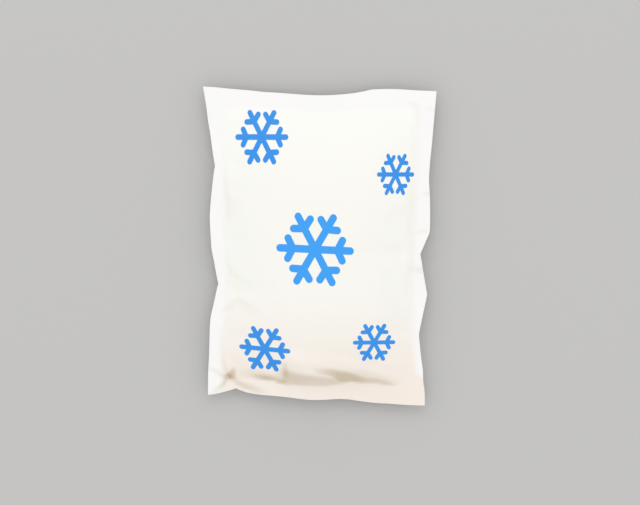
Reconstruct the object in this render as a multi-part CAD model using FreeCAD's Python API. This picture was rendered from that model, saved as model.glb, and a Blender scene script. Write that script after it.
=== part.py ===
import FreeCAD
import Part

import math
import os

# Reusable gel ice pack: two sheets of white film welded together on all four sides round a gel filling,
# with five blue snowflakes printed on its front. It lies on its back with the print up.
# Millimetres. X runs across the pack, Y along it, +Z up. The origin is on the floor under the middle.

Vector = FreeCAD.Vector

# The cut sheets and their welds
pouch_width = 120.0
pouch_length = 163.6
film_thickness = 0.15
side_weld = 7.2
end_weld = 9.0

# How the filled pouch lies: a higher roundness is flatter on top and steeper at the weld
crown_height = 20.5
weld_height = 7.5
side_roundness = 3.2
head_roundness = 2.4
foot_roundness = 3.4

# The belly under the weld: how far in from the weld it starts, and how much of its wall is left straight
belly_inset = 3.2
belly_wall = 0.55

# Where the cut edge runs: (share of the way along the side, how far in from the outer size)
left_edge = [(0, 2.6), (0.14, 3.0), (0.26, 4.6), (0.36, 8.2), (0.45, 4.7), (0.53, 3.5), (0.60, 3.5),
             (0.74, 6.8), (0.85, 3.7), (1, 0)]
right_edge = [(0, 5.9), (0.11, 7.4), (0.23, 9.4), (0.37, 4.8), (0.48, 9.2), (0.55, 3.1), (0.64, 3.4),
              (0.72, 4.2), (0.81, 2.9), (1, 0)]
foot_edge = [(0, 5.6), (0.13, 9.6), (0.19, 6.9), (0.26, 5.1), (0.38, 3.8), (0.50, 2.8), (0.61, 3.2),
             (0.74, 1.3), (0.88, 0.5), (1, 0)]
head_edge = [(0, 0), (0.23, 2.1), (0.49, 4.6), (0.60, 4.0), (0.75, 1.1), (0.85, 1.3), (1, 2.4)]

# Where the weld ends and the filling starts: the same two figures, measured from the outer size too
left_weld_line = [(0, 10.5), (0.35, 11.5), (0.65, 10.3), (1, 9.2)]
right_weld_line = [(0, 11.2), (0.25, 13.4), (0.50, 12.6), (0.75, 10.0), (1, 8.2)]
foot_weld_line = [(0, 15.2), (0.13, 14.8), (0.25, 13.6), (0.36, 12.0), (0.46, 10.4), (0.54, 10.4), (0.64, 11.6),
                  (0.70, 11.9), (0.80, 10.8), (1, 9.6)]
head_weld_line = [(0, 9.4), (0.5, 12.6), (1, 10.6)]

# How far the cut edge ripples above or below the weld line: (share of the way, rise)
left_rise = [(0, 0.2), (0.12, -0.9), (0.24, 0.3), (0.37, -1.3), (0.49, 0.6), (0.61, -0.8), (0.75, 1.3),
             (0.87, -0.8), (1, 0.2)]
right_rise = [(0, 0.1), (0.12, -0.8), (0.24, 1.0), (0.36, -1.1), (0.47, 1.5), (0.58, -0.9), (0.72, 0.4),
              (0.86, -0.6), (1, 0.2)]
foot_rise = [(0, -0.6), (0.13, -2.5), (0.30, -1.4), (0.55, -1.0), (0.78, -1.9), (1, -0.8)]
head_rise = [(0, -0.8), (0.25, -1.8), (0.50, -0.8), (0.75, -1.9), (1, -0.7)]

# Gathers, where the film puckers in from the weld: (share of the way, half-width, depth, reach into the filling)
left_gathers = [(0.09, 6, 0.5, 12), (0.21, 7, 0.7, 16), (0.36, 7, 1.6, 26), (0.52, 7, 0.6, 14), (0.63, 6, 0.5, 12),
                (0.74, 8, 1.4, 24), (0.88, 7, 0.5, 14)]
right_gathers = [(0.10, 6, 0.5, 12), (0.23, 7, 0.9, 18), (0.34, 6, 0.4, 12), (0.48, 7, 1.5, 22), (0.60, 6, 0.5, 12),
                 (0.72, 7, 0.8, 18), (0.86, 7, 0.5, 14)]
foot_gathers = [(0.12, 6, 1.6, 16), (0.30, 7, 0.6, 14), (0.72, 7, 0.7, 15), (0.88, 6, 0.7, 12)]
head_gathers = [(0.12, 6, 0.6, 14), (0.29, 7, 0.5, 16), (0.49, 8, 0.7, 20), (0.68, 7, 0.5, 16), (0.86, 6, 0.8, 14)]

# The fold over the foot weld, where the filling sags into a lip
lip_middle = 0.49
lip_half_width = 0.38
lip_height = 3.6
lip_reach = 6.0

# Printed snowflakes: where the middle is as a share of the half-width and half-length of the pouch,
# how far an arm reaches across and along as a share of the largest, and how far it is turned in degrees
print_thickness = 0.25
largest_reach = 19.0
snowflakes = {
    "head_left": (-0.501, 0.680, 0.647, 0.768, 0.0),
    "head_right": (0.645, 0.447, 0.458, 0.579, 1.0),
    "middle": (-0.042, -0.024, 0.937, 1.0, -2.5),
    "foot_left": (-0.473, -0.647, 0.621, 0.605, -5.2),
    "foot_right": (0.459, -0.605, 0.521, 0.516, 1.0),
}
flake_arms = 6
branch_start = 0.63
branch_length = 0.31
branch_angle = 62.0
stroke_half = 0.094
patch_margin = 0.07

# How finely the filled panel is laid out across and along
steps_across = 16
steps_along = 26


def along(profile, share):
    """The value of a hand-drawn profile at a share of the way along a side."""
    for (a, low), (b, high) in zip(profile, profile[1:]):
        if share <= b:
            return low + (high - low) * (share - a) / (b - a)
    return profile[-1][1]


def bell(distance, half_width):
    """1 in the middle, easing to 0 at the half-width."""
    far = min(abs(distance) / half_width, 1.0)
    return (1 - far * far) ** 2


def fade(distance, reach):
    """1 at the edge, easing to 0 at the reach."""
    near = 1 - min(max(distance, 0.0) / reach, 1.0)
    return near * near * (3 - 2 * near)


def swell(distance, reach):
    """0 at the edge, 1 at the reach, and dying away beyond it."""
    far = max(distance, 0.0) / reach
    return far * math.exp(1 - far)


def gathered(gathers, share, side_length, depth_in):
    """How far the gathers of one side lower the film."""
    return sum(depth * bell((share - middle) * side_length, half_width) * fade(depth_in, reach)
               for middle, half_width, depth, reach in gathers)


def film_point(s, t):
    """The front and back film at a share s of the way across the pouch and t along it."""
    left, right = along(left_edge, t), pouch_width - along(right_edge, t)
    foot, head = along(foot_edge, s), pouch_length - along(head_edge, s)
    left_line, right_line = along(left_weld_line, t), pouch_width - along(right_weld_line, t)
    foot_line, head_line = along(foot_weld_line, s), pouch_length - along(head_weld_line, s)
    side_share, end_share = side_weld / pouch_width, end_weld / pouch_length
    x = along([(0, left), (side_share, left_line), (1 - side_share, right_line), (1, right)], s)
    y = along([(0, foot), (end_share, foot_line), (1 - end_share, head_line), (1, head)], t)

    rise = along(left_rise, t) * max(0.0, 1 - s / side_share) + along(foot_rise, s) * max(0.0, 1 - t / end_share)
    rise += along(right_rise, t) * max(0.0, 1 - (1 - s) / side_share)
    rise += along(head_rise, s) * max(0.0, 1 - (1 - t) / end_share)

    side = 2 * (x - left_line) / (right_line - left_line) - 1
    end = 2 * (y - foot_line) / (head_line - foot_line) - 1
    end_roundness = foot_roundness if end < 0 else head_roundness
    filled = abs(side) < 1 and abs(end) < 1
    full = (1 - abs(side) ** side_roundness) * (1 - abs(end) ** end_roundness) if filled else 0.0
    drawn = gathered(left_gathers, t, pouch_length, x - left_line)
    drawn += gathered(right_gathers, t, pouch_length, right_line - x)
    drawn += gathered(foot_gathers, s, pouch_width, y - foot_line)
    drawn += gathered(head_gathers, s, pouch_width, head_line - y)
    lip = lip_height * bell(s - lip_middle, lip_half_width) * swell(y - foot_line, lip_reach)
    raised = (crown_height - weld_height) * full + (lip - drawn) * min(1.0, 3 * full)
    plan = x - pouch_width / 2, y - pouch_length / 2
    weld = weld_height + rise
    return Vector(*plan, weld + film_thickness + raised), Vector(*plan, weld - film_thickness)


def smooth_surface(net):
    """A surface that eases through a net of points, quadratic wherever the net is wide enough."""
    def knots(count):
        degree = min(2, count - 1)
        spans = count - degree
        return degree, [i / spans for i in range(spans + 1)], [degree + 1] + [1] * (spans - 1) + [degree + 1]

    u_degree, u_knots, u_mults = knots(len(net))
    v_degree, v_knots, v_mults = knots(len(net[0]))
    surface = Part.BSplineSurface()
    surface.buildFromPolesMultsKnots(net, u_mults, v_mults, u_knots, v_knots, False, False, u_degree, v_degree)
    return surface


def zones(weld_share, steps):
    """The shares of the way over one weld, the filled panel and the other weld."""
    inner = [weld_share + (1 - 2 * weld_share) * i / steps for i in range(steps + 1)]
    return [0.0, weld_share], inner, [1 - weld_share, 1.0]


def film_nets():
    """The points of the front and back film over the filled panel, the four welded bands and their corners."""
    nets = {}
    for i, across in enumerate(zones(side_weld / pouch_width, steps_across)):
        for j, up in enumerate(zones(end_weld / pouch_length, steps_along)):
            points = [[film_point(s, t) for t in up] for s in across]
            nets[i, j] = [[[point[film] for point in row] for row in points] for film in (0, 1)]
    return nets


def belly(rim):
    """The back under the filled panel: the ledge inside the weld line, and a rounded tray that rests on the floor."""
    corners = [rim[i][j] + Vector(-side, -end, 0) * belly_inset
               for i, j, side, end in ((0, 0, -1, -1), (-1, 0, 1, -1), (-1, -1, 1, 1), (0, -1, -1, 1))]
    top = corners[0].z
    outline = Part.makePolygon(corners + corners[:1])
    tray = Part.Face(outline).extrude(Vector(0, 0, -top))
    tray = tray.makeFillet(top - belly_wall, [edge for edge in tray.Edges if edge.BoundBox.ZMax < top / 2])
    panel = smooth_surface(rim)
    weld_line = [getattr(panel, iso)(end).toShape() for iso in ("uIso", "vIso") for end in (0, 1)]
    ledge = Part.makeFace([Part.Wire(Part.sortEdges(weld_line)[0]), outline], "Part::FaceMakerBullseye")
    return ledge.Faces + [face for face in tray.Faces if face.CenterOfMass.z < top - film_thickness]


def pouch(nets):
    """The sealed pouch, film and filling as one closed solid."""
    faces = belly(nets[1, 1][1])
    for (i, j), (front_net, back_net) in nets.items():
        films = [smooth_surface(front_net), smooth_surface(back_net)]
        faces += [film.toShape() for film in (films[:1] if (i, j) == (1, 1) else films)]
        rims = [[film.uIso(i / 2) for film in films]] if i != 1 else []
        rims += [[film.vIso(j / 2) for film in films]] if j != 1 else []
        faces += [Part.makeRuledSurface(above.toShape(), below.toShape()) for above, below in rims]
    shell = Part.makeShell(faces)
    shell.sewShape()
    solid = Part.Solid(shell)
    if solid.Volume < 0:
        solid.reverse()
    return solid


def stroke(start, end, half_width):
    """One printed line, flat on the plan, whose far end is rounded off by half an octagon."""
    run = end - start
    side = Vector(-run.y, run.x, 0).normalize() * half_width
    ahead = Vector(run).normalize() * half_width
    bevel = math.tan(math.pi / 8)
    corners = [start + side, end + side + ahead * bevel, end + side * bevel + ahead,
               end - side * bevel + ahead, end - side + ahead * bevel, start - side]
    return Part.Face(Part.makePolygon(corners + corners[:1]))


def snowflake_outline(across, up, wide, tall, turn):
    """One snowflake on the plan: straight arms, each with a pair of branches."""
    middle = Vector(across * pouch_width / 2, up * pouch_length / 2, 0)
    reach_x, reach_y = wide * largest_reach, tall * largest_reach
    half = stroke_half * math.sqrt(reach_x * reach_y)

    def point(length, angle, start=(0.0, 0.0)):
        return (start[0] + length * math.cos(math.radians(angle)), start[1] + length * math.sin(math.radians(angle)))

    def on_plan(p):
        return middle + Vector(p[0] * reach_x, p[1] * reach_y, 0)

    strokes = []
    for arm in range(flake_arms):
        angle = turn + arm * 360.0 / flake_arms
        strokes.append(stroke(middle, on_plan(point(1.0, angle)), half))
        root = point(branch_start, angle)
        for lean in (-branch_angle, branch_angle):
            strokes.append(stroke(on_plan(root), on_plan(point(branch_length, angle + lean, root)), half))
    return strokes[0].multiFuse(strokes[1:]).removeSplitter()


def film_under(front, outline):
    """The piece of the front film's panel that reaches a little past an outline on the plan."""
    box = outline.BoundBox
    corners = [front.parameter(Vector(x, y, crown_height)) for x in (box.XMin, box.XMax) for y in (box.YMin, box.YMax)]
    ranges = [(max(min(shares) - patch_margin, 0), min(max(shares) + patch_margin, 1)) for shares in zip(*corners)]
    return front.toShape(*ranges[0], *ranges[1])


def snowflake_print(nets):
    """The ink of every snowflake, lying on the front film."""
    front = smooth_surface(nets[1, 1][0])
    inks = []
    for snowflake in snowflakes.values():
        outline = snowflake_outline(*snowflake)
        block = outline.extrude(Vector(0, 0, 2 * crown_height))
        layer = film_under(front, outline).extrude(Vector(0, 0, print_thickness))
        inks += layer.common(block).Solids
    return Part.Compound(inks)


def build():
    """Every piece of the ice pack under its own name."""
    nets = film_nets()
    return {"sealed_pouch": pouch(nets), "snowflake_print": snowflake_print(nets)}


os.makedirs("parts", exist_ok=True)
for name, shape in build().items():
    shape.exportStep(f"parts/{name}.step")
    print(name, "volume", round(shape.Volume / 1000, 2), "cm3, valid", shape.isValid(), "solids", len(shape.Solids))
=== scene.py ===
import math

import bpy
import numpy as np
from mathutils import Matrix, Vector


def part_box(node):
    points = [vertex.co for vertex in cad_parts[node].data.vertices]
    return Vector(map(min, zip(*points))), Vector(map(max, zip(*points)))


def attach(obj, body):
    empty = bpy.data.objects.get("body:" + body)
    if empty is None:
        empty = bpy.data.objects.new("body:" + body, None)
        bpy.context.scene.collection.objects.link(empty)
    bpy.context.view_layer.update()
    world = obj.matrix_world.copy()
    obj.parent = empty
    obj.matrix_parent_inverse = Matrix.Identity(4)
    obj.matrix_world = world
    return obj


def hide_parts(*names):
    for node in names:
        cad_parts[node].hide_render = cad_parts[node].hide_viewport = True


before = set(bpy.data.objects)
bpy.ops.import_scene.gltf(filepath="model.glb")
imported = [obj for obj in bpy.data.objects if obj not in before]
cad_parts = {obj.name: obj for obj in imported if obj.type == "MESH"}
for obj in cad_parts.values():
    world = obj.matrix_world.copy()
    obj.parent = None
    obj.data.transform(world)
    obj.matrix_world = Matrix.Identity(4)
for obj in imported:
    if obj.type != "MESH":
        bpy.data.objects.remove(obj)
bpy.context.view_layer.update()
mm = 0.001
print("frame loaded:", sorted(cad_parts))

# The pouch, its lengths in millimetres. A profile is a list of stations (share of the way along a side,
# value), from the foot up or from the left across. Edges and weld lines lie in from the outer size.
pouchForm = {
    "filmThickness": 0.15,
    "sideWeld": 7.2,
    "endWeld": 9.0,
    "crownHeight": 20.5,
    "weldHeight": 7.5,
    "sideRoundness": 3.2,
    "headRoundness": 2.4,
    "footRoundness": [(0, 3.0), (0.2, 3.4), (0.4, 4.2), (0.6, 4.2), (0.8, 3.6), (1, 3.0)],
    "bellyReach": 10.0,
    # Where the painted shade at the foot begins, how far it reaches, and how it fades at the sides
    "footPaintedShadeFrom": -18.0,
    "footPaintedShadeReach": 54.0,
    "footPaintedShadeRound": 8.0,
    "footPaintedShadePast": 3.0,
    "footPaintedShadeBlur": 4.0,
    "bandFade": 25.0,
    "gatherRise": 3.0,
    "sharpAngle": 50,
    "leftEdge": [(0, 2.6), (0.10, 2.6), (0.16, 3.1), (0.24, 3.5), (0.27, 3.8), (0.32, 5.5),
                 (0.374, 7.45), (0.382, 7.8), (0.39, 7.5), (0.45, 5.7), (0.494, 4.4), (0.52, 4.1),
                 (0.60, 3.5), (0.65, 4.1), (0.70, 5.0), (0.743, 5.95), (0.751, 6.2), (0.759, 5.95),
                 (0.80, 4.9), (0.84, 4.0), (0.90, 2.4), (0.93, 1.8), (1, 0)],
    "rightEdge": [(0, 6.2), (0.04, 6.3), (0.077, 7.0), (0.114, 7.3), (0.15, 8.1), (0.19, 8.8),
                  (0.227, 9.2), (0.246, 8.6), (0.30, 6.7), (0.342, 5.2), (0.349, 5.0), (0.356, 5.2),
                  (0.40, 6.5), (0.45, 7.9), (0.468, 8.4), (0.474, 8.6), (0.48, 8.2), (0.491, 7.45),
                  (0.52, 5.4), (0.54, 4.0), (0.547, 3.7), (0.56, 3.6), (0.65, 3.6), (0.71, 4.1),
                  (0.76, 3.6), (0.82, 2.6), (0.88, 1.7), (0.93, 1.0), (1, 0)],
    "footEdge": [(0, 5.3), (0.03, 5.5), (0.077, 6.5), (0.103, 7.3), (0.133, 8.4), (0.14, 8.7),
                 (0.147, 8.3), (0.17, 7.2), (0.205, 6.1), (0.24, 5.5), (0.30, 4.9), (0.36, 4.2),
                 (0.41, 3.4), (0.47, 2.8), (0.52, 2.9), (0.58, 3.3), (0.62, 3.1), (0.67, 2.2),
                 (0.73, 1.3), (0.80, 0.8), (0.87, 0.2), (0.92, 0), (1, 0)],
    "headEdge": [(0, 0), (0.05, 0.3), (0.10, 0.9), (0.15, 1.4), (0.20, 1.9), (0.26, 2.7), (0.33, 3.2),
                 (0.40, 3.9), (0.47, 4.4), (0.54, 4.4), (0.60, 3.9), (0.65, 3.2), (0.69, 2.3),
                 (0.72, 1.5), (0.76, 1.2), (0.84, 1.3), (0.90, 1.8), (1, 2.4)],
    "leftWeldLine": [(0, 10.5), (0.20, 10.8), (0.38, 11.8), (0.60, 10.3), (0.75, 10.6), (1, 9.2)],
    "rightWeldLine": [(0, 11.0), (0.10, 11.4), (0.24, 13.3), (0.36, 12.8), (0.48, 12.8), (0.62, 10.5),
                      (0.80, 9.2), (1, 8.2)],
    "footWeldLine": [(0, 15.4), (0.14, 14.9), (0.25, 13.6), (0.36, 12.1), (0.41, 10.8), (0.46, 10.3),
                     (0.54, 10.2), (0.59, 11.0), (0.64, 11.7), (0.70, 12.0), (0.80, 10.8), (1, 9.4)],
    "headWeldLine": [(0, 9.0), (0.25, 11.0), (0.5, 12.9), (0.62, 12.4), (0.76, 10.4), (1, 10.8)],
}

# How far the welded bands rise or droop at the cut edge, and how much of that runs on into the filling
rippleForm = {
    "left": [(0, 0.2), (0.12, -0.9), (0.24, 0.2), (0.39, -1.3), (0.50, 0.5), (0.62, -0.8), (0.75, 1.2),
             (0.88, -0.9), (1, 0.2)],
    "right": [(0, 0.1), (0.12, -0.8), (0.24, 0.9), (0.36, -1.2), (0.47, 1.4), (0.58, -1.0), (0.72, 0.3),
              (0.86, -0.7), (1, 0.2)],
    "foot": [(0, -0.6), (0.13, -2.6), (0.30, -1.4), (0.55, -1.0), (0.78, -2.0), (1, -0.8)],
    "head": [(0, -0.8), (0.25, -1.8), (0.50, -0.8), (0.75, -2.0), (1, -0.7)],
    "atWeldLine": 0.3,
    "reach": 8.0,
}

# Gathers, where the film puckers in from a weld: (share of the way along it, half-width, depth, reach)
gatherForm = {
    "left": [(0.09, 5, 0.5, 12), (0.21, 6, 0.7, 16), (0.36, 6, 1.6, 26), (0.52, 6, 0.6, 14),
             (0.63, 5, 0.5, 12), (0.74, 7, 1.4, 24), (0.88, 6, 0.5, 14)],
    "right": [(0.10, 5, 0.5, 12), (0.23, 6, 0.9, 18), (0.34, 5, 0.4, 12), (0.48, 6, 1.5, 22),
              (0.60, 5, 0.5, 12), (0.72, 6, 0.8, 18), (0.86, 6, 0.5, 14)],
    "foot": [(0.12, 5, 1.6, 16), (0.72, 6, 0.7, 15), (0.88, 5, 0.7, 12)],
    "head": [(0.12, 5, 0.6, 14), (0.29, 6, 0.5, 16), (0.49, 7, 0.7, 20), (0.68, 6, 0.5, 16),
             (0.86, 5, 0.8, 14)],
}

# Folds of the film. Each runs through its stations: (x and y from the middle, height, width to the left
# of its way, width to the right, strength of its painted shade). A crisp fold falls straight from its crest
# on the right.
foldForm = {
    "footLip": {"crisp": True, "stations": [
        (-24.0, -62.5, 0.0, 8, 6.0, 0.0), (-19.5, -62.8, 1.8, 10, 6.6, 0.3),
        (-16.9, -63.3, 3.2, 12, 6.4, 0.7), (-12.8, -64.6, 3.7, 13, 6.3, 0.65),
        (-7.7, -65.6, 3.8, 13, 5.7, 0.55), (-2.6, -66.5, 3.4, 13, 4.9, 0.5),
        (3.8, -67.2, 2.6, 12, 4.3, 0.5), (10.3, -68.2, 1.6, 8, 2.5, 0.5),
        (15.4, -69.4, 0.0, 6, 1.2, 0.0)]},
    "overlap": {"crisp": True, "stations": [
        (-4.1, -61.6, 0.0, 6, 1.8, 0.0), (-0.5, -62.2, 0.6, 8, 2.6, 0.3),
        (3.8, -62.4, 1.2, 9, 3.2, 0.6), (7.7, -62.9, 1.9, 9, 3.9, 0.8), (12.3, -63.9, 2.8, 9, 5.2, 1.0),
        (16.4, -65.4, 3.0, 9, 4.1, 1.0), (20.5, -67.0, 2.4, 9, 2.9, 0.85),
        (24.0, -67.7, 1.8, 9, 2.5, 0.55), (29.2, -68.1, 1.4, 8, 2.5, 0.45),
        (35.0, -69.4, 0.9, 7, 2.2, 0.45), (40.2, -71.2, 0.0, 6, 1.2, 0.0)]},
    "lipEnd": {"crisp": False, "stations": [
        (-17.9, -58.6, 0.0, 1.8, 1.8, 0.0), (-18.2, -61.5, -0.8, 2.2, 2.2, 0.3),
        (-18.0, -65.0, -1.1, 2.6, 2.6, 0.35), (-17.4, -69.0, 0.0, 2.0, 2.0, 0.0)]},
    "leftCrease": {"crisp": True, "stations": [
        (-36.5, -65.4, 0.0, 4, 1.6, 0.0), (-31.5, -65.8, 0.7, 4, 2.2, 0.45),
        (-28.0, -66.2, 1.1, 4, 2.5, 0.75), (-24.6, -66.6, 1.0, 4, 2.4, 0.7),
        (-22.0, -67.6, 0.8, 4, 2.2, 0.65), (-19.0, -69.0, 0.6, 4, 2.0, 0.8),
        (-15.9, -70.4, 0.0, 3, 1.4, 0.2)]},
    "cornerPit": {"crisp": False, "stations": [
        (-50.0, -68.6, 0.0, 1.6, 1.6, 0.0), (-47.6, -67.2, -2.4, 2.4, 2.4, 0.52),
        (-45.4, -66.0, -2.8, 2.8, 2.8, 0.54), (-44.6, -63.8, -1.4, 2.0, 2.0, 0.46),
        (-44.4, -62.0, 0.0, 1.4, 1.4, 0.0)]},
    "pitSide": {"crisp": False, "stations": [
        (-46.5, -67.2, -0.8, 1.6, 1.6, 0.4), (-44.0, -67.8, -0.6, 1.5, 1.5, 0.5),
        (-41.0, -68.7, 0.0, 1.2, 1.2, 0.1)]},
    "cornerRidge": {"crisp": True, "stations": [
        (-58.0, -76.8, 0.2, 3.0, 1.6, 0.0), (-53.3, -72.4, 1.3, 3.5, 2.4, 0.3),
        (-49.5, -69.0, 1.0, 2.5, 2.0, 0.45), (-47.6, -67.6, 0.0, 2.0, 1.5, 0.0)]},
    "bandCrease": {"crisp": True, "stations": [
        (-45.5, -67.6, 0.0, 1.5, 1.4, 0.35), (-41.5, -69.1, 0.5, 2.2, 2.4, 0.5),
        (-37.4, -70.4, 0.6, 2.2, 3.0, 0.5), (-33.5, -71.6, 0.5, 2.2, 3.2, 0.42),
        (-30.0, -73.0, 0.3, 2.2, 2.6, 0.28), (-25.6, -74.2, 0.0, 2.0, 1.4, 0.0)]},
    "sideCrease": {"crisp": True, "stations": [
        (-58.5, -61.2, 0.0, 3.0, 1.6, 0.1), (-53.3, -63.1, 0.7, 3.0, 2.0, 0.25),
        (-49.2, -66.0, 0.5, 2.5, 1.8, 0.35), (-47.6, -67.0, 0.0, 2.0, 1.5, 0.0)]},
    "sideLine": {"crisp": False, "stations": [
        (-49.8, -40.0, 0.0, 1.4, 1.4, 0.0), (-50.4, -48.0, -0.4, 1.6, 1.6, 0.1),
        (-50.3, -55.4, -0.5, 1.7, 1.7, 0.14), (-49.4, -61.0, -0.7, 1.8, 1.8, 0.2),
        (-47.4, -65.6, -0.4, 1.8, 1.8, 0.3)]},
    "weldShade": {"crisp": False, "stations": [
        (-46.0, -66.6, 0.0, 4, 3.0, 0.0), (-40.0, -66.2, 0.0, 5, 3.0, 0.22),
        (-30.0, -66.4, 0.0, 5, 3.0, 0.3), (-20.0, -67.0, 0.0, 5, 3.0, 0.1),
        (6.0, -67.5, 0.0, 5, 3.0, 0.1), (16.0, -66.0, 0.0, 5, 4.0, 0.28),
        (24.0, -67.4, 0.0, 5, 3.4, 0.32), (32.0, -68.4, 0.0, 4, 3.0, 0.24),
        (42.0, -71.0, 0.0, 3, 2.0, 0.0)]},
    "rightPuckerHigh": {"crisp": False, "stations": [
        (56.8, 26.6, -0.2, 2.2, 2.2, 0.25), (54.3, 26.4, -0.4, 2.2, 2.2, 0.22),
        (51.6, 26.2, 0.0, 1.6, 1.6, 0.0)]},
    "rightPuckerMiddle": {"crisp": False, "stations": [
        (55.0, 8.0, -0.2, 2.4, 2.2, 0.16), (52.6, 7.0, -0.6, 2.6, 2.2, 0.22),
        (50.2, 6.4, -0.4, 2.0, 1.6, 0.18), (47.2, 6.2, 0.0, 1.6, 1.4, 0.0)]},
    "rightPuckerLow": {"crisp": False, "stations": [
        (54.2, -12.6, -0.3, 2.8, 2.8, 0.24), (51.2, -12.8, -0.8, 3.2, 3.2, 0.32),
        (48.4, -12.4, -0.5, 2.6, 2.6, 0.2), (45.0, -11.6, 0.0, 2.0, 2.0, 0.0)]},
    "headCrease": {"crisp": False, "stations": [
        (43.6, 74.4, 0.0, 1.6, 1.6, 0.0), (46.8, 72.6, -0.5, 2.4, 2.4, 0.18),
        (49.6, 71.0, -0.4, 2.4, 2.4, 0.14), (50.6, 66.0, -0.2, 2.0, 2.0, 0.1),
        (50.2, 60.0, 0.0, 1.8, 1.8, 0.0)]},
    "headPucker": {"crisp": False, "stations": [
        (59.2, 69.6, -0.3, 1.6, 1.6, 0.25), (56.6, 69.9, -0.4, 1.8, 1.8, 0.16),
        (53.4, 70.4, 0.0, 1.4, 1.4, 0.0)]},
    "headPeak": {"crisp": False, "stations": [
        (-8.6, 50.2, 0.0, 1.2, 1.2, 0.0), (-5.4, 53.3, 0.25, 1.6, 1.6, 0.0),
        (-4.0, 54.0, 0.25, 1.6, 1.6, 0.0), (-2.4, 53.0, 0.25, 1.6, 1.6, 0.0),
        (1.6, 50.0, 0.0, 1.2, 1.2, 0.0)]},
    "leftDent": {"crisp": False, "stations": [
        (-48.9, 44.0, 0.0, 1.6, 1.0, 0.0), (-48.8, 36.0, -0.3, 2.2, 1.2, 0.12),
        (-48.9, 28.0, -0.5, 2.6, 1.2, 0.16), (-48.5, 21.0, -0.6, 4.4, 1.4, 0.2),
        (-48.1, 15.5, -0.6, 5.0, 1.4, 0.2), (-48.3, 11.5, 0.0, 3.0, 1.2, 0.0)]},
    "leftLine": {"crisp": False, "stations": [
        (-48.6, -6.0, 0.0, 1.5, 1.5, 0.0), (-46.8, -12.0, -0.4, 2.4, 1.8, 0.16),
        (-44.6, -15.8, -0.3, 2.2, 1.8, 0.12), (-38.5, -19.0, -0.2, 2.0, 2.0, 0.05),
        (-34.0, -23.0, 0.0, 1.6, 1.6, 0.0)]},
    "leftDiagonal": {"crisp": False, "stations": [
        (-49.2, -32.4, 0.0, 1.6, 2.6, 0.2), (-46.4, -30.6, -0.4, 1.8, 4.4, 0.2),
        (-42.4, -27.6, -0.6, 1.8, 6.5, 0.18), (-36.0, -31.2, -0.5, 2.0, 7.0, 0.15),
        (-28.6, -35.8, 0.0, 2.0, 5.0, 0.0)]},
    "rightStrip": {"crisp": False, "stations": [
        (48.8, 70.0, 0.0, 3.2, 3.2, 0.04), (48.4, 49.0, -0.1, 3.4, 3.4, 0.1),
        (47.2, 22.0, -0.2, 3.6, 3.6, 0.14), (46.6, 2.0, -0.2, 3.6, 3.6, 0.14),
        (46.2, -22.0, -0.1, 3.6, 3.6, 0.08), (45.8, -42.0, 0.0, 3.2, 3.2, 0.0)]},
    "lensShade": {"crisp": False, "stations": [
        (-22.0, -59.0, 0.0, 3, 3, 0.0), (-15.5, -60.6, 0.0, 5, 5, 0.16), (-8.0, -61.6, 0.0, 4, 4, 0.1),
        (2.0, -60.8, 0.0, 4, 4, 0.1), (10.0, -61.4, 0.0, 4, 4, 0.12), (18.0, -63.6, 0.0, 3, 3, 0.0)]},
}

# The painted shade of a crisp fold: how far it runs past the crest and how strong it is there, and its
# strength at each share of the way down the face
foldPaintedShadeForm = {
    "pastCrest": 1.2,
    "overCrest": 0.4,
    "faceShares": (0, 0.3, 0.95, 1.2),
    "faceStrengths": (0.4, 1, 1, 0),
}

# How finely the film and the paths of its folds are divided
gridForm = {
    "bandSteps": 8,
    "stepsAcross": 144,
    "stepsAlong": 208,
    "stepsPerStation": 16,
    "rounds": 4,
}


def follow(profile, share):  # eases through given stations
    places, values = np.array(profile, float).T
    slopes = np.gradient(values, places)
    share = np.clip(np.asarray(share, float), places[0], places[-1])
    i = np.clip(np.searchsorted(places, share) - 1, 0, len(places) - 2)
    span = places[i + 1] - places[i]
    u = (share - places[i]) / span
    start, end = values[i], values[i + 1]
    eased = start + (end - start) * u * u * (3 - 2 * u)
    return eased + span * u * (1 - u) * (slopes[i] * (1 - u) - slopes[i + 1] * u)


def bell(distance, halfWidth):
    return (1 - np.clip(np.abs(distance) / halfWidth, 0, 1) ** 2) ** 2


def fade(distance, reach):
    near = 1 - np.clip(distance / reach, 0, 1)
    return near * near * (3 - 2 * near)


def quarterRound(distance, reach):
    inside = np.clip(distance / reach, 0, 1)
    return np.sqrt(1 - (1 - inside) ** 2)


def ripple(name, place, inside, band):
    kept = rippleForm["atWeldLine"]
    outside = kept + (1 - kept) * np.clip(-inside / band, 0, 1)
    share = np.where(inside < 0, outside, kept * fade(inside, rippleForm["reach"]))
    return follow(rippleForm[name], place) * share


def gathered(name, place, sideLength, inside):
    return sum(depth * bell((place - middle) * sideLength, halfWidth) * fade(inside, reach)
               for middle, halfWidth, depth, reach in gatherForm[name])


def pathThrough(stations):
    places = np.linspace(0, 1, len(stations))
    fine = np.linspace(0, 1, gridForm["stepsPerStation"] * len(stations))
    return np.stack([follow(list(zip(places, column)), fine) for column in stations.T], axis=1)


def besidePath(path, points):  # each point's distance and side, and the values where the path is nearest
    starts, runs = path[:-1], np.diff(path, axis=0)
    ahead = points[:, None] - starts[:, :2]
    share = (ahead * runs[:, :2]).sum(axis=2) / (runs[:, :2] ** 2).sum(axis=1)
    share = np.clip(share, 0, 1)[..., None]
    distance = np.linalg.norm(ahead - share * runs[:, :2], axis=2)
    nearest = distance.argmin(axis=1)
    rows = np.arange(len(nearest))
    offX, offY = ahead[rows, nearest].T
    leftOf = runs[nearest, 0] * offY - runs[nearest, 1] * offX > 0
    values = starts[nearest, 2:] + share[rows, nearest] * runs[nearest, 2:]
    return distance[rows, nearest], leftOf, values.T


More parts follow.
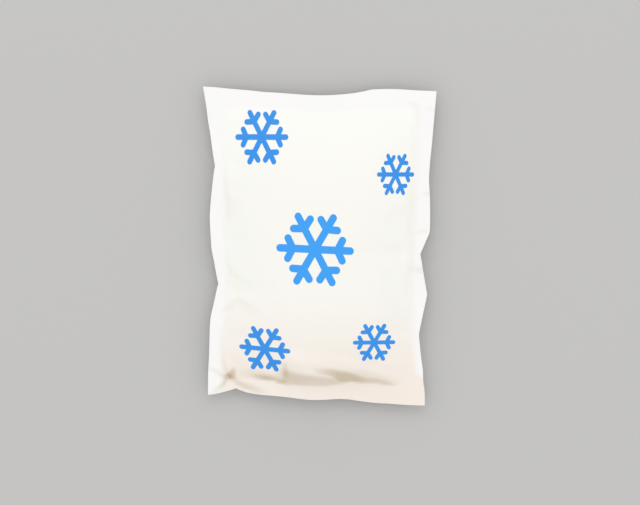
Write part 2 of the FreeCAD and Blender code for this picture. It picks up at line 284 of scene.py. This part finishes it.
def folded(fold, x, y):  # the height and the painted shade that a fold gives the film
    stations = np.array(fold["stations"], float)
    path = pathThrough(stations)
    reach = stations[:, 3:5].max()
    low, high = path[:, :2].min(axis=0) - reach, path[:, :2].max(axis=0) + reach
    near = (x > low[0]) & (x < high[0]) & (y > low[1]) & (y < high[1])
    away, leftOf, values = besidePath(path, np.stack([x[near], y[near]], axis=1))
    rise, wideLeft, wideRight, strength = values
    shape = bell(away, np.where(leftOf, wideLeft, wideRight))
    coloured = shape
    if fold["crisp"]:
        form = foldPaintedShadeForm
        shape = np.where(leftOf, shape, 1 - np.clip(away / wideRight, 0, 1))
        crest = form["overCrest"] * bell(away, form["pastCrest"])
        face = np.interp(away / wideRight, form["faceShares"], form["faceStrengths"])
        coloured = np.where(leftOf, crest, face)
    height, tint = np.zeros(x.shape), np.zeros(x.shape)
    height[near], tint[near] = rise * shape, strength * coloured
    return height, tint


def shares(weldShare, steps):
    band = np.linspace(0, weldShare, gridForm["bandSteps"] + 1)
    panel = np.linspace(weldShare, 1 - weldShare, steps + 1)
    return np.concatenate([band, panel[1:], 1 - band[::-1][1:]])


def opposite(lowName, highName, place, outer):  # two facing profiles, both measured from the low side
    return follow(pouchForm[lowName], place), outer - follow(pouchForm[highName], place)


def spread(share, weldShare, edges, lines):  # over the low band, the panel and the high band
    lowEdge, highEdge = edges
    lowLine, highLine = lines
    lowBand = lowEdge + (lowLine - lowEdge) * share / weldShare
    highBand = highEdge + (highLine - highEdge) * (1 - share) / weldShare
    panel = lowLine + (highLine - lowLine) * ((share - weldShare) / (1 - 2 * weldShare))
    return np.where(share < weldShare, lowBand, np.where(share > 1 - weldShare, highBand, panel))


def layOut(width, length):  # the grid's places in plan, and the weld lines beside each
    sideShare, endShare = pouchForm["sideWeld"] / width, pouchForm["endWeld"] / length
    s, t = np.meshgrid(shares(sideShare, gridForm["stepsAcross"]),
                       shares(endShare, gridForm["stepsAlong"]), indexing="ij")
    x, y = s * width, t * length
    for _ in range(gridForm["rounds"]):  # each way's profiles need the other way's place, so the two settle
        sideEdges = opposite("leftEdge", "rightEdge", y / length, width)
        sideLines = opposite("leftWeldLine", "rightWeldLine", y / length, width)
        x = spread(s, sideShare, sideEdges, sideLines)
        endEdges = opposite("footEdge", "headEdge", x / width, length)
        endLines = opposite("footWeldLine", "headWeldLine", x / width, length)
        y = spread(t, endShare, endEdges, endLines)
    return x, y, sideLines, endLines


def filmGrid():
    form = pouchForm
    low, high = (np.array(corner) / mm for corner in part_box("sealed_pouch"))
    width, length = (high - low)[:2]
    x, y, (leftLine, rightLine), (footLine, headLine) = layOut(width, length)
    fromLeft, fromRight, fromFoot, fromHead = x - leftLine, rightLine - x, y - footLine, headLine - y
    across, up = x / width, y / length
    planX, planY = x - width / 2, y - length / 2

    side = np.clip(2 * fromLeft / (rightLine - leftLine) - 1, -1, 1)
    end = np.clip(2 * fromFoot / (headLine - footLine) - 1, -1, 1)
    endRoundness = np.where(end < 0, follow(form["footRoundness"], across), form["headRoundness"])
    full = (1 - np.abs(side) ** form["sideRoundness"]) * (1 - np.abs(end) ** endRoundness)

    rise = (ripple("left", up, fromLeft, form["sideWeld"])
            + ripple("right", up, fromRight, form["sideWeld"]))
    rise += (ripple("foot", across, fromFoot, form["endWeld"])
             + ripple("head", across, fromHead, form["endWeld"]))
    drawn = gathered("left", up, length, fromLeft) + gathered("right", up, length, fromRight)
    drawn += gathered("foot", across, width, fromFoot) + gathered("head", across, width, fromHead)
    drawn *= np.clip(form["gatherRise"] * full, 0, 1)
    layers = [folded(fold, planX, planY) for fold in foldForm.values()]
    folds, paintedShades = (sum(layer) for layer in zip(*layers))

    film = form["filmThickness"]
    weld = form["weldHeight"] + rise
    top = weld + film + ((form["crownHeight"] - form["weldHeight"]) * full + folds - drawn)
    tucked = (quarterRound(np.minimum(fromLeft, fromRight), form["bellyReach"])
              * quarterRound(np.minimum(fromFoot, fromHead), form["bellyReach"]))
    under = np.minimum((weld + folds * (tucked == 0) - film) * (1 - tucked), top - 2 * film)
    front, back = (np.stack([planX, planY, height], axis=-1) for height in (top, under))

    # Painted shade at the foot, darker and warmer towards the foot. The side welds stay white beside it,
    # except in the foot's right corner
    paintedShadeRight = fromRight + form["sideWeld"] * fade(fromFoot, form["footPaintedShadeRound"])
    insideSides = np.minimum(fromLeft, paintedShadeRight) + form["footPaintedShadePast"]
    footTint = 1 - fade(form["footPaintedShadeFrom"] - planY, form["footPaintedShadeReach"])
    look = {
        "weldBand": np.clip(1 - full * form["bandFade"], 0, 1),
        "fullness": full,
        "foldTint": np.clip(paintedShades, 0, 1),
        "footTint": footTint * np.clip(insideSides / form["footPaintedShadeBlur"], 0, 1),
    }
    return front, back, look


def addToScene(name, data):
    added = bpy.data.objects.new(name, data)
    bpy.context.scene.collection.objects.link(added)
    return added


def meshFrom(name, points, faces):
    mesh = bpy.data.meshes.new(name)
    mesh.from_pydata(points.tolist(), [], faces.tolist())
    mesh.update()
    return addToScene(name, mesh)


def smooth(piece, sharpAngle):  # the angle in degrees
    piece.data.shade_smooth()
    piece.data.set_sharp_from_angle(angle=math.radians(sharpAngle))


def gridFaces(across, along):  # the points' numbers, and the squares between them
    index = np.arange(across * along).reshape(across, along)
    corners = [index[:-1, :-1], index[1:, :-1], index[1:, 1:], index[:-1, 1:]]
    return index, np.stack(corners, axis=-1).reshape(-1, 4)


def closedGrid(name, upper, lower):  # two grids of the same size, joined round their rims
    across, along = upper.shape[:2]
    index, quads = gridFaces(across, along)
    rim = np.concatenate([index[:-1, 0], index[-1, :-1], index[:0:-1, -1], index[0, :0:-1]])
    following = np.roll(rim, -1)
    below = across * along
    walls = np.stack([following, rim, rim + below, following + below], axis=1)
    points = np.concatenate([upper.reshape(-1, 3), lower.reshape(-1, 3)])
    return meshFrom(name, points * mm, np.concatenate([quads, quads[:, ::-1] + below, walls]))


# The film over the filling, let out a little and pressed from inside, so that it settles into small
# dents. The movement is cut at furthest, in millimetres, and the kept share of it stays.
settleForm = {
    "every": 2,
    "frames": 24,
    "quality": 8,
    "pressure": 0.03,
    "letOut": 0.004,
    "vertexWeight": 0.002,
    "stretchStiffness": 20.0,
    "shearShare": 1 / 3,
    "bendStiffness": 5.0,
    "heldFrom": 0.99,
    "furthest": 2.5,
    "least": 1e-6,
    "kept": 0.6,
}


def pressed(start, inBand):  # where the cloth simulation takes the film
    form = settleForm
    index, quads = gridFaces(*start.shape[:2])
    film = meshFrom("settlingFilm", start.reshape(-1, 3) * mm, quads)
    held = film.vertex_groups.new(name="held")
    held.add(index[inBand > form["heldFrom"]].tolist(), 1.0, "REPLACE")
    modifier = film.modifiers.new("film", "CLOTH")
    cloth = modifier.settings
    cloth.quality = form["quality"]
    cloth.mass = form["vertexWeight"]
    cloth.tension_stiffness = form["stretchStiffness"]
    cloth.compression_stiffness = form["stretchStiffness"]
    cloth.shear_stiffness = form["stretchStiffness"] * form["shearShare"]
    cloth.bending_stiffness = form["bendStiffness"]
    cloth.use_pressure = True
    cloth.uniform_pressure_force = form["pressure"]
    cloth.shrink_min = -form["letOut"]
    cloth.vertex_group_mass = "held"
    cloth.effector_weights.gravity = 0
    modifier.point_cache.frame_end = form["frames"]
    for moment in range(1, form["frames"] + 1):
        bpy.context.scene.frame_set(moment)
    shaped = film.evaluated_get(bpy.context.evaluated_depsgraph_get()).data
    points = np.empty(start.size, np.float32)
    shaped.vertices.foreach_get("co", points)
    bpy.context.scene.frame_set(1)
    bpy.data.objects.remove(film)
    return points.reshape(start.shape) / mm


def refined(rough):  # twice as fine along the first way, and softened
    finer = np.empty((2 * len(rough) - 1,) + rough.shape[1:])
    finer[::2] = rough
    finer[1::2] = (rough[1:] + rough[:-1]) / 2
    finer[1:-1] = (finer[:-2] + 2 * finer[1:-1] + finer[2:]) / 4
    return finer


def settled(front, inBand):
    form = settleForm
    every = form["every"]
    start = front[::every, ::every]
    moved = pressed(start, inBand[::every, ::every]) - start
    size = np.linalg.norm(moved, axis=2, keepdims=True)
    print("film settled, furthest %.2f, middling %.2f mm" % (size.max(), np.median(size)))
    moved *= form["kept"] * np.minimum(1, form["furthest"] / np.maximum(size, form["least"]))
    for way in (0, 1):
        moved = np.moveaxis(refined(np.moveaxis(moved, way, 0)), 0, way)
    return front + moved


def storeFilmColourAndShade(piece, look):  # the colour masks and painted shade; the back has the welds, but no painted fold shade and no painted foot shade
    for name, values in look.items():
        backValues = values if name in ("weldBand", "fullness") else 0 * values
        both = np.concatenate([values.ravel(), backValues.ravel()]).astype(np.float32)
        piece.data.attributes.new(name, "FLOAT", "POINT").data.foreach_set("value", both)


front, back, look = filmGrid()
front = settled(front, look["weldBand"])
pouch = closedGrid("gelPouch", front, back)
storeFilmColourAndShade(pouch, look)
smooth(pouch, pouchForm["sharpAngle"])
print("pouch:", len(pouch.data.polygons), "faces")


class Wire:  # a node's output that can take part in sums
    def __init__(self, book, socket):
        self.book, self.socket = book, socket

    def other(self, name):
        return Wire(self.book, pick(self.socket.node.outputs, name))

    def __add__(self, value):
        return self.book.maths("ADD", self, value)

    def __radd__(self, value):
        return self.book.maths("ADD", value, self)

    def __sub__(self, value):
        return self.book.maths("SUBTRACT", self, value)

    def __rsub__(self, value):
        return self.book.maths("SUBTRACT", value, self)

    def __mul__(self, value):
        return self.book.maths("MULTIPLY", self, value)

    def __rmul__(self, value):
        return self.book.maths("MULTIPLY", value, self)

    def __rtruediv__(self, value):
        return self.book.maths("DIVIDE", value, self)


def pick(sockets, key):
    if isinstance(key, int):
        return sockets[key]
    return next(socket for socket in sockets if key in (socket.identifier, socket.name) and socket.enabled)


class NodeBook:  # adds nodes to one tree
    def __init__(self, tree):
        self.tree = tree
        tree.nodes.clear()

    def node(self, kind, settings=None, sockets=None, output=0):
        made = self.tree.nodes.new(kind)
        for name, value in (settings or {}).items():
            setattr(made, name, value)
        for key, value in (sockets or {}).items():
            self.feed(pick(made.inputs, key), value)
        return Wire(self, pick(made.outputs, output)) if len(made.outputs) else made

    def feed(self, socket, value):
        for one in value if isinstance(value, list) else [value]:
            if isinstance(one, Wire):
                self.tree.links.new(one.socket, socket)
            else:
                socket.default_value = one

    def maths(self, operation, *values):
        return self.node("ShaderNodeMath", {"operation": operation}, dict(enumerate(values)))

    def place(self, x=0.0, y=0.0, z=0.0):
        return self.node("ShaderNodeCombineXYZ", sockets={0: x, 1: y, 2: z})

    def blendColour(self, factor, first, second):
        return self.node("ShaderNodeMix", {"data_type": "RGBA"},
                         {"Factor_Float": factor, "A_Color": first, "B_Color": second}, "Result_Color")


# Printed snowflakes: middle, reach across and along in millimetres, turn in degrees, lean as a share.
# Branches and strokes are shares of the reach, the ink and the sheet it is cut out of in millimetres.
flakeForm = {
    "flakes": [
        (-29.75, 55.64, 12.33, 14.61, -0.4, -0.008),
        (38.62, 36.50, 8.71, 10.98, 0.8, 0.062),
        (-2.50, -1.78, 17.84, 18.90, -2.7, -0.027),
        (-28.20, -52.50, 11.84, 11.60, -5.1, -0.079),
        (27.60, -49.16, 9.86, 9.80, 0.2, 0.038),
    ],
    "arms": 6,
    "branchRoot": 0.633,
    "branchLength": 0.307,
    "branchAngle": 62.6,
    "strokeHalf": 0.102,
    "strokeDepth": 2.0,
    "roundSides": 24,
    "inkAbove": 0.05,
    "inkBelow": 0.04,
    "sheetWidth": 100.0,
    "sheetLength": 150.0,
    "sheetDepth": 1.0,
    "cell": 0.6,
    "cutHeight": 50.0,
    "dropFrom": 100.0,
    "sharpAngle": 40,
}


def oneFlake(book, given):  # six arms of unit reach, merged into one closed shape
    half = given.other("Stroke half")
    root = given.other("Branch root")
    length = given.other("Branch length")
    angle = given.other("Branch angle")

    def cap(x, y):
        disc = book.node("GeometryNodeMeshCylinder", sockets={
            "Vertices": given.other("Round sides"), "Radius": half, "Depth": given.other("Stroke depth")})
        return book.node("GeometryNodeTransform", sockets={
            "Geometry": disc, "Translation": book.place(x, y)})

    def stroke(x0, y0, x1, y1):
        ends = book.node("GeometryNodeJoinGeometry", sockets={0: [cap(x0, y0), cap(x1, y1)]})
        return book.node("GeometryNodeConvexHull", sockets={0: ends})

    tipX = root + length * book.maths("COSINE", angle)
    tipY = length * book.maths("SINE", angle)
    arm = book.node("GeometryNodeJoinGeometry", sockets={0: [
        stroke(0.0, 0.0, 1.0, 0.0),
        stroke(root, 0.0, tipX, tipY),
        stroke(root, 0.0, tipX, 0.0 - tipY)]})
    count = given.other("Arms")
    spots = book.node("GeometryNodeMeshLine", sockets={"Count": count, "Offset": (0.0, 0.0, 0.0)})
    turn = (2 * math.pi) * book.node("GeometryNodeInputIndex") * (1.0 / count)
    arms = book.node("GeometryNodeInstanceOnPoints", sockets={
        "Points": spots, "Instance": arm, "Rotation": book.place(z=turn)})
    arms = book.node("GeometryNodeRealizeInstances", sockets={0: arms})
    return book.node("GeometryNodeMeshBoolean", {"operation": "UNION", "solver": "EXACT"},
                     {"Mesh 2": arms, "Self Intersection": True})


def leaningFlakes(book, given, flake):  # one at each point, with its own reach, turn and lean
    def stored(name, kind="FLOAT"):
        return book.node("GeometryNodeInputNamedAttribute", {"data_type": kind}, {"Name": name},
                         "Attribute")

    flakes = book.node("GeometryNodeInstanceOnPoints", sockets={
        "Points": given.other("Geometry"), "Instance": flake,
        "Rotation": book.place(z=stored("turn")), "Scale": stored("reach", "FLOAT_VECTOR")})
    flakes = book.node("GeometryNodeRealizeInstances", sockets={0: flakes})
    spot = book.node("GeometryNodeInputPosition")
    along = book.node("ShaderNodeSeparateXYZ", sockets={0: spot}, output="Y")
    shift = (along - stored("middle")) * stored("lean")
    return book.node("GeometryNodeSetPosition", sockets={"Geometry": flakes, "Offset": book.place(shift)})


def droppedInk(book, given, flakes):  # cut out of a flat sheet of small cells that drops on to the film
    sheet = book.node("GeometryNodeMeshCube", sockets={
        "Size": given.other("Sheet"), "Vertices X": given.other("Cells across"),
        "Vertices Y": given.other("Cells along"), "Vertices Z": 2})
    printed = book.node("GeometryNodeMeshBoolean", {"operation": "INTERSECT", "solver": "EXACT"},
                        {"Mesh 2": [sheet, flakes]})
    spot = book.node("ShaderNodeSeparateXYZ", sockets={0: book.node("GeometryNodeInputPosition")})
    film = book.node("GeometryNodeObjectInfo", sockets={0: given.other("Film")}, output="Geometry")
    touched = book.node("GeometryNodeRaycast", sockets={
        "Target Geometry": film, "Ray Direction": (0.0, 0.0, -1.0), "Ray Length": given.other("Drop from"),
        "Source Position": book.place(spot, spot.other("Y"), given.other("Drop from"))},
        output="Hit Position")
    onFilm = book.node("ShaderNodeSeparateXYZ", sockets={0: touched}, output="Z")
    isTop = book.maths("GREATER_THAN", spot.other("Z"), 0.0)
    lift = isTop * given.other("Ink above") - (1.0 - isTop) * given.other("Ink below")
    return book.node("GeometryNodeSetPosition", sockets={
        "Geometry": printed, "Position": book.place(spot, spot.other("Y"), onFilm + lift)})


def flakeTree(ink):
    tree = bpy.data.node_groups.new("snowflakePrint", "GeometryNodeTree")
    tree.interface.new_socket("Geometry", in_out="OUTPUT", socket_type="NodeSocketGeometry")
    inputs = {
        "Geometry": ["Geometry"],
        "Object": ["Film"],
        "Vector": ["Sheet"],
        "Int": ["Arms", "Round sides", "Cells across", "Cells along"],
        "Float": ["Branch root", "Branch length", "Branch angle", "Stroke half", "Stroke depth",
                  "Drop from", "Ink above", "Ink below"],
    }
    for kind, names in inputs.items():
        for name in names:
            tree.interface.new_socket(name, in_out="INPUT", socket_type="NodeSocket" + kind)
    book = NodeBook(tree)
    given = book.node("NodeGroupInput")
    flakes = leaningFlakes(book, given, oneFlake(book, given))
    printed = book.node("GeometryNodeRealizeInstances", sockets={0: droppedInk(book, given, flakes)})
    printed = book.node("GeometryNodeSetMaterial", sockets={"Geometry": printed, "Material": ink})
    book.node("NodeGroupOutput", sockets={0: printed})
    return tree


def flakePoints():  # one point for each snowflake, which carries its sizes
    flakes = np.array(flakeForm["flakes"], float)
    flat = np.zeros((len(flakes), 1))
    points = np.concatenate([flakes[:, :2], flat], axis=1) * mm
    reach = np.concatenate([flakes[:, 2:4], flat + flakeForm["cutHeight"]], axis=1) * mm
    piece = meshFrom("snowflakePrintSkin", points, np.zeros((0, 3), int))
    columns = {"turn": np.radians(flakes[:, 4]), "lean": flakes[:, 5], "middle": points[:, 1]}
    for name, values in columns.items():
        stored = piece.data.attributes.new(name, "FLOAT", "POINT")
        stored.data.foreach_set("value", values.astype(np.float32))
    stored = piece.data.attributes.new("reach", "FLOAT_VECTOR", "POINT")
    stored.data.foreach_set("vector", reach.astype(np.float32).ravel())
    return piece


def printSnowflakes(film, ink):
    form = flakeForm
    piece = flakePoints()
    tree = flakeTree(ink)
    modifier = piece.modifiers.new("snowflakes", "NODES")
    modifier.node_group = tree
    settings = {
        "Film": film,
        "Sheet": (form["sheetWidth"] * mm, form["sheetLength"] * mm, form["sheetDepth"] * mm),
        "Arms": form["arms"],
        "Round sides": form["roundSides"],
        "Cells across": int(form["sheetWidth"] / form["cell"]) + 1,
        "Cells along": int(form["sheetLength"] / form["cell"]) + 1,
        "Branch root": form["branchRoot"],
        "Branch length": form["branchLength"],
        "Branch angle": math.radians(form["branchAngle"]),
        "Stroke half": form["strokeHalf"],
        "Stroke depth": form["strokeDepth"],
        "Drop from": form["dropFrom"] * mm,
        "Ink above": form["inkAbove"] * mm,
        "Ink below": form["inkBelow"] * mm,
    }
    for item in tree.interface.items_tree:
        if item.in_out == "INPUT" and item.name in settings:
            modifier[item.identifier] = settings[item.name]
    bpy.context.view_layer.update()
    shown = piece.evaluated_get(bpy.context.evaluated_depsgraph_get())
    shaped = bpy.data.meshes.new_from_object(shown)
    piece.modifiers.remove(modifier)
    piece.data = shaped
    smooth(piece, form["sharpAngle"])
    return piece


def coordinates(book):
    return book.node("ShaderNodeTexCoord", output="Object")


def noise(book, form):
    return book.node("ShaderNodeTexNoise", sockets={
        "Vector": coordinates(book), "Scale": 1 / (form["size"] * mm), "Detail": form["detail"],
        "Roughness": form["roughness"]}, output="Fac")


def newMaterial(name):
    made = bpy.data.materials.new(name)
    made.use_nodes = True
    return made, NodeBook(made.node_tree)


def surface(book, sockets):
    shader = book.node("ShaderNodeBsdfPrincipled", sockets=sockets)
    book.node("ShaderNodeOutputMaterial", sockets={"Surface": shader})


def bumped(book, height, look):
    return book.node("ShaderNodeBump", sockets={
        "Height": height, "Strength": look["bumpStrength"], "Distance": look["bumpDepth"] * mm},
        output="Normal")


# The looks. Sizes of noise, depths of bump and distances from the middle in millimetres.
filmLook = {
    "welded": (0.955, 0.957, 0.962, 1),
    # painted light: the shoulder colour is paler than filled, to cancel the shade on the sloping sides
    "shoulderPaintedLight": (0.975, 0.98, 0.945, 1),
    "filled": (0.94, 0.94, 0.895, 1),
    "cloud": (0.93, 0.93, 0.895, 1),
    # foldShade and creaseShade are colours of painted shade for the folds and dents
    "foldShade": (0.68, 0.585, 0.445, 1),
    "creaseShade": (0.80, 0.74, 0.61, 1),
    # footShade, footLeast and footCloud are the colour and strength of the painted shade at the foot
    "footShade": (0.92, 0.838, 0.765, 1),
    "cloudNoise": {"size": 30.0, "detail": 3.0, "roughness": 0.5},
    "cloudShare": 0.4,
    "footLeast": 0.6,
    "footCloud": 0.5,
    "roughness": 0.42,
    "cloudRoughness": 0.08,
    "weldSmoothness": 0.05,
    "crinkleNoise": {"size": 5.0, "detail": 4.0, "roughness": 0.6},
    "crinkleHeight": 0.35,
    "grainNoise": {"size": 0.35, "detail": 1.0, "roughness": 0.5},
    "grainHeight": 0.02,
    "bumpStrength": 0.35,
    "bumpDepth": 0.5,
    "refraction": 1.45,
}


def filmMaterial():
    film, book = newMaterial("whiteFilm")
    look = filmLook

    def onFilm(name):
        return book.node("ShaderNodeAttribute", {"attribute_name": name}, output="Fac")

    cloud = noise(book, look["cloudNoise"])
    fullness = onFilm("fullness")
    # painted light: the sloping shoulders are coloured paler than the full middle, to cancel the shade that
    # falls on them
    colour = book.blendColour(fullness * fullness, look["shoulderPaintedLight"], look["filled"])
    colour = book.blendColour(onFilm("weldBand"), colour, look["welded"])
    colour = book.blendColour(cloud * look["cloudShare"], colour, look["cloud"])
    # painted shade: darker and warmer towards the foot, where the lower slopes face away from the light
    footTint = onFilm("footTint") * (look["footLeast"] + look["footCloud"] * cloud)
    colour = book.blendColour(footTint, colour, look["footShade"])
    # painted shade in the folds and dents: browner at the foot, olive elsewhere
    shade = book.blendColour(onFilm("footTint"), look["creaseShade"], look["foldShade"])
    colour = book.blendColour(onFilm("foldTint"), colour, shade)
    height = (noise(book, look["crinkleNoise"]) * look["crinkleHeight"]
              + noise(book, look["grainNoise"]) * look["grainHeight"])
    roughness = (look["roughness"] + cloud * look["cloudRoughness"]
                 - onFilm("weldBand") * look["weldSmoothness"])
    surface(book, {"Base Color": colour, "Roughness": roughness, "IOR": look["refraction"],
                   "Normal": bumped(book, height, look)})
    return film


inkLook = {
    "blue": (0.03, 0.31, 0.88, 1),
    "deeper": (0.02, 0.27, 0.80, 1),
    "lighter": (0.035, 0.37, 0.97, 1),
    "lighterShare": 0.8,
    "lighterWithin": 26.0,
    "plainBeyond": 52.0,
    "mottleNoise": {"size": 14.0, "detail": 4.0, "roughness": 0.6},
    "roughness": 0.38,
    "mottleRoughness": 0.1,
    "grainNoise": {"size": 0.5, "detail": 2.0, "roughness": 0.5},
    "bumpStrength": 0.2,
    "bumpDepth": 0.05,
    "refraction": 1.45,
}


def inkMaterial():
    ink, book = newMaterial("blueInk")
    look = inkLook
    mottle = noise(book, look["mottleNoise"])
    colour = book.blendColour(mottle, look["blue"], look["deeper"])
    fromMiddle = book.node("ShaderNodeVectorMath", {"operation": "LENGTH"}, {0: coordinates(book)},
                           "Value")
    lighter = book.node("ShaderNodeMapRange", {"interpolation_type": "SMOOTHSTEP"}, {
        "Value": fromMiddle, "From Min": look["plainBeyond"] * mm,
        "From Max": look["lighterWithin"] * mm}, "Result")
    colour = book.blendColour(lighter * look["lighterShare"], colour, look["lighter"])
    roughness = look["roughness"] + mottle * look["mottleRoughness"]
    surface(book, {"Base Color": colour, "Roughness": roughness, "IOR": look["refraction"],
                   "Normal": bumped(book, noise(book, look["grainNoise"]), look)})
    return ink


pouch.data.materials.append(filmMaterial())
flakes = printSnowflakes(pouch, inkMaterial())
print("snowflakes:", len(flakes.data.polygons), "faces")

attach(pouch, "root")
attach(flakes, "root")
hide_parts("sealed_pouch")
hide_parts("snowflake_print")

# The stage. Places, sizes of lamps and the floor in metres, its gap below the pouch in millimetres.
stageForm = {
    "floorSize": 6.0,
    "floorGap": 0.05,
    "floorColour": (0.56, 0.56, 0.56, 1),
    "floorRoughness": 0.9,
    "floorGloss": 0.1,
    "keyPlace": (-0.03, 0.95, 0.95),
    "keySize": 0.9,
    "keyPower": 1.5,
    "topPlace": (0.0, 0.0, 1.5),
    "topSize": 1.6,
    "topPower": 0.8,
    "skyColour": (1.0, 0.99, 0.975, 1),
    "skyStrength": 0.92,
}


def layFloor():
    half = stageForm["floorSize"] / 2
    low = -stageForm["floorGap"] * mm
    corners = np.array([(-half, -half, low), (half, -half, low), (half, half, low), (-half, half, low)])
    floor = meshFrom("floor", corners, np.array([(0, 1, 2, 3)]))
    pale, book = newMaterial("paleFloor")
    surface(book, {"Base Color": stageForm["floorColour"], "Roughness": stageForm["floorRoughness"],
                   "Specular IOR Level": stageForm["floorGloss"]})
    floor.data.materials.append(pale)


def hangLamp(name):  # aimed at the pouch
    lamp = bpy.data.lights.new(name, "AREA")
    lamp.shape = "DISK"
    lamp.size = stageForm[name + "Size"]
    lamp.energy = stageForm[name + "Power"]
    holder = addToScene(name, lamp)
    holder.location = stageForm[name + "Place"]
    holder.rotation_euler = (-holder.location).to_track_quat("-Z", "Y").to_euler()


def setSky():
    world = bpy.data.worlds.new("softSky")
    world.use_nodes = True
    bpy.context.scene.world = world
    book = NodeBook(world.node_tree)
    sky = book.node("ShaderNodeBackground", sockets={
        "Color": stageForm["skyColour"], "Strength": stageForm["skyStrength"]})
    book.node("ShaderNodeOutputWorld", sockets={"Surface": sky})


layFloor()
hangLamp("key")
hangLamp("top")
setSky()

# The camera looks straight down at lookAt, and the photograph's width covers viewWidth at the weld line.
# Both are in millimetres.
cameraForm = {"lens": 130.0, "sensor": 36.0, "viewWidth": 328.2, "lookAt": (0.0, -3.33)}


def setCamera():
    data = bpy.data.cameras.new("camera")
    data.lens = cameraForm["lens"]
    data.sensor_width = cameraForm["sensor"]
    data.sensor_fit = "HORIZONTAL"
    camera = addToScene("camera", data)
    distance = cameraForm["viewWidth"] * cameraForm["lens"] / cameraForm["sensor"]
    x, y = cameraForm["lookAt"]
    camera.location = Vector((x, y, distance + pouchForm["weldHeight"])) * mm
    bpy.context.scene.camera = camera


setCamera()
bpy.context.scene.view_settings.view_transform = "Standard"
print("stage set")
